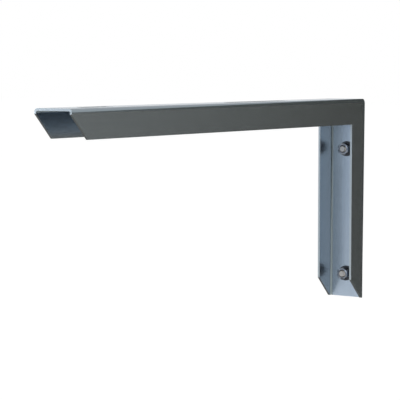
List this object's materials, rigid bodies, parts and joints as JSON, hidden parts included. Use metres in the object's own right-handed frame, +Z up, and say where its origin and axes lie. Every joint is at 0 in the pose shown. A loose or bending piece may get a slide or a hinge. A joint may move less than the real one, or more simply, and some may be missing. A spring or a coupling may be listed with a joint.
{
  "type": "air conditioner outdoor unit bracket",
  "caption": "L-shaped wall bracket of folded steel channel that carries an air conditioner's outdoor unit, with slots for its feet and bolts for the wall.",
  "frame": {"origin": "on the back face of the leg, which lies against the wall, midway between the two wall bolts", "axes": "+Z up, +Y into the wall, -Y along the arm away from the wall, X across the channel"},
  "size_m": [0.046, 0.575, 0.238],
  "materials": {
    "galvanised_sheet": "smooth galvanised steel sheet, weathered to a satin blue-grey",
    "zinc_plated_steel": "bright zinc plating, satin",
    "blued_spring_steel": "dark spring steel"
  },
  "bodies": {
    "root": {"bracket_channel": "galvanised_sheet", "wall_bolt_upper": "zinc_plated_steel", "wall_bolt_lower": "zinc_plated_steel", "hex_nut_upper": "zinc_plated_steel", "hex_nut_lower": "zinc_plated_steel", "lock_washer_upper": "blued_spring_steel", "lock_washer_lower": "blued_spring_steel", "flat_washer_upper": "zinc_plated_steel", "flat_washer_lower": "zinc_plated_steel", "anchor_shell_upper": "zinc_plated_steel", "anchor_shell_lower": "zinc_plated_steel", "expander_plug_upper": "zinc_plated_steel", "expander_plug_lower": "zinc_plated_steel"}
  },
  "joints": []
}
